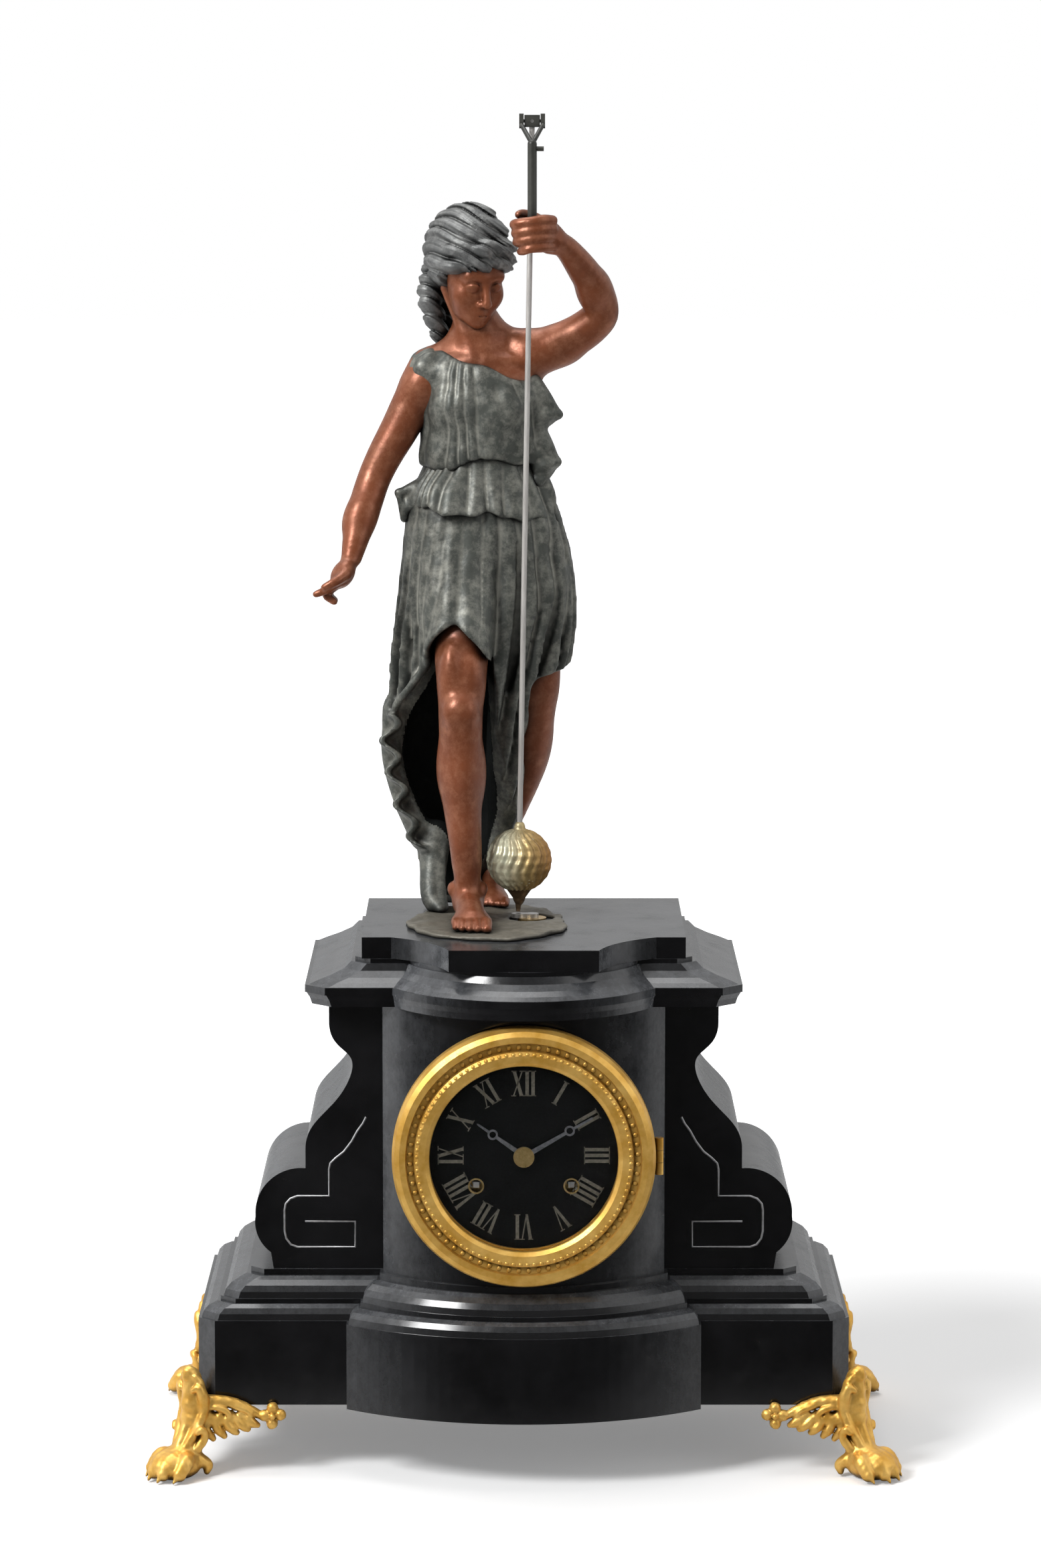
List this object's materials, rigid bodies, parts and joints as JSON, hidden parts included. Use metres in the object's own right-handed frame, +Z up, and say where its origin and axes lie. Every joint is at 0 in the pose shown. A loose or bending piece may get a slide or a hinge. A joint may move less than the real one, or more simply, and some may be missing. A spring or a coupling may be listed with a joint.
{
  "type": "figural mantel clock",
  "caption": "Black stone mantel clock with gilt paw feet, hinged round bezel and a cast standing figure that holds up a conical pendulum.",
  "frame": {"origin": "on the floor, under the middle of the clock's overall box", "axes": "+Z up, front with the dial towards -Y, +X to the right of someone facing the dial"},
  "size_m": [0.4294, 0.24, 0.7873],
  "materials": {
    "black_stone": "polished",
    "gilt_metal": "burnished gilt",
    "brass": "satin",
    "steel": "satin",
    "patinated_metal": "brown and grey-green patina",
    "bob_metal": "chased, tarnished gilt",
    "dial_black": "satin",
    "clear_glass": "clear",
    "bell_metal": "turned"
  },
  "bodies": {
    "case": {"plinth": "black_stone", "base_moulding": "black_stone", "dial_block": "black_stone", "left_console": "black_stone", "right_console": "black_stone", "cornice": "black_stone", "platform": "black_stone", "front_left_foot": "gilt_metal", "front_right_foot": "gilt_metal", "rear_left_foot": "gilt_metal", "rear_right_foot": "gilt_metal", "bezel_seat": "gilt_metal", "winding_ferrules": "brass", "movement_front_plate": "brass", "movement_back_plate": "brass", "movement_pillars": "brass", "case_straps": "brass", "rear_ring": "brass", "crank_bush": "brass", "arbor_cock": "brass", "bell_post": "brass", "foot_screws": "steel", "strap_screws": "steel", "hinge_pins": "steel", "figure_fixings": "steel", "figure_ground": "patinated_metal", "figure_skirt": "patinated_metal", "figure_torso": "patinated_metal", "figure_head": "patinated_metal", "figure_left_arm": "patinated_metal", "figure_right_arm": "patinated_metal", "figure_right_leg": "patinated_metal", "figure_left_leg": "patinated_metal", "suspension_fork": "patinated_metal", "dial": "dial_black", "bell": "bell_metal"},
    "bezel": {"bezel_ring": "gilt_metal", "bezel_glass": "clear_glass"},
    "rear_door": {"rear_door": "brass", "door_knob": "brass"},
    "minute": {"minute_hand": "steel", "cannon_pinion": "brass", "hand_collet": "brass", "centre_wheel": "brass"},
    "hour": {"hour_hand": "steel", "hour_wheel": "brass"},
    "minute_wheel": {"minute_wheel": "brass"},
    "crank": {"crank": "steel"},
    "contrate_wheel": {"contrate_wheel": "brass"},
    "gimbal": {"gimbal_block": "patinated_metal", "gimbal_pin": "steel"},
    "pendulum": {"pendulum_rod": "steel", "pendulum_bob": "bob_metal", "pendulum_tail": "bob_metal"},
    "going_arbor": {"going_arbor": "steel"},
    "strike_arbor": {"strike_arbor": "steel"},
    "going_barrel": {"going_barrel": "brass"},
    "strike_barrel": {"strike_barrel": "brass"},
    "hammer": {"hammer": "steel"}
  },
  "joints": [
    {"name": "bezel_hinge", "type": "hinge", "parent": "case", "child": "bezel", "pos_m": [0.0777, -0.1055, 0.195], "axis": [0, 0, 1], "range_deg": [0, 110]},
    {"name": "door_hinge", "type": "hinge", "parent": "case", "child": "rear_door", "pos_m": [-0.062, 0.09105, 0.195], "axis": [0, 0, 1], "range_deg": [0, 110]},
    {"name": "minute_turn", "type": "hinge", "parent": "case", "child": "minute", "pos_m": [0, -0.1, 0.195], "axis": [0, 1, 0], "continuous": true},
    {"name": "hour_turn", "type": "hinge", "parent": "case", "child": "hour", "pos_m": [0, -0.1, 0.195], "axis": [0, 1, 0], "continuous": true},
    {"name": "minute_wheel_turn", "type": "hinge", "parent": "case", "child": "minute_wheel", "pos_m": [0.0096, -0.095, 0.21163], "axis": [0, 1, 0], "continuous": true},
    {"name": "crank_turn", "type": "hinge", "parent": "case", "child": "crank", "pos_m": [0.00483, 0.00212, 0.28], "axis": [0, 0, 1], "continuous": true},
    {"name": "contrate_turn", "type": "hinge", "parent": "case", "child": "contrate_wheel", "pos_m": [0.00483, -0.02, 0.226], "axis": [0, 1, 0], "continuous": true},
    {"name": "gimbal_tilt", "type": "hinge", "parent": "case", "child": "gimbal", "pos_m": [0.00483, 0.00212, 0.78302], "axis": [1, 0, 0], "range_deg": [-1.3, 1.3]},
    {"name": "pendulum_swing", "type": "hinge", "parent": "gimbal", "child": "pendulum", "pos_m": [0.00483, 0.00212, 0.78302], "axis": [0, 1, 0], "range_deg": [-2.3, 0.3]},
    {"name": "going_arbor_turn", "type": "hinge", "parent": "case", "child": "going_arbor", "pos_m": [0.0274, -0.07, 0.1771], "axis": [0, 1, 0], "continuous": true},
    {"name": "strike_arbor_turn", "type": "hinge", "parent": "case", "child": "strike_arbor", "pos_m": [-0.0274, -0.07, 0.1771], "axis": [0, 1, 0], "continuous": true},
    {"name": "going_barrel_turn", "type": "hinge", "parent": "going_arbor", "child": "going_barrel", "pos_m": [0.0274, -0.07, 0.1771], "axis": [0, 1, 0], "continuous": true},
    {"name": "strike_barrel_turn", "type": "hinge", "parent": "strike_arbor", "child": "strike_barrel", "pos_m": [-0.0274, -0.07, 0.1771], "axis": [0, 1, 0], "continuous": true},
    {"name": "hammer_swing", "type": "hinge", "parent": "case", "child": "hammer", "pos_m": [-0.042, -0.045, 0.203], "axis": [0, 1, 0], "range_deg": [-12, 0]}
  ],
  "couplings": [
    {"joint": "hour_turn", "follows": "minute_turn", "ratio": 0.083333},
    {"joint": "minute_wheel_turn", "follows": "minute_turn", "ratio": -0.33333},
    {"joint": "crank_turn", "follows": "contrate_turn", "ratio": 6}
  ]
}
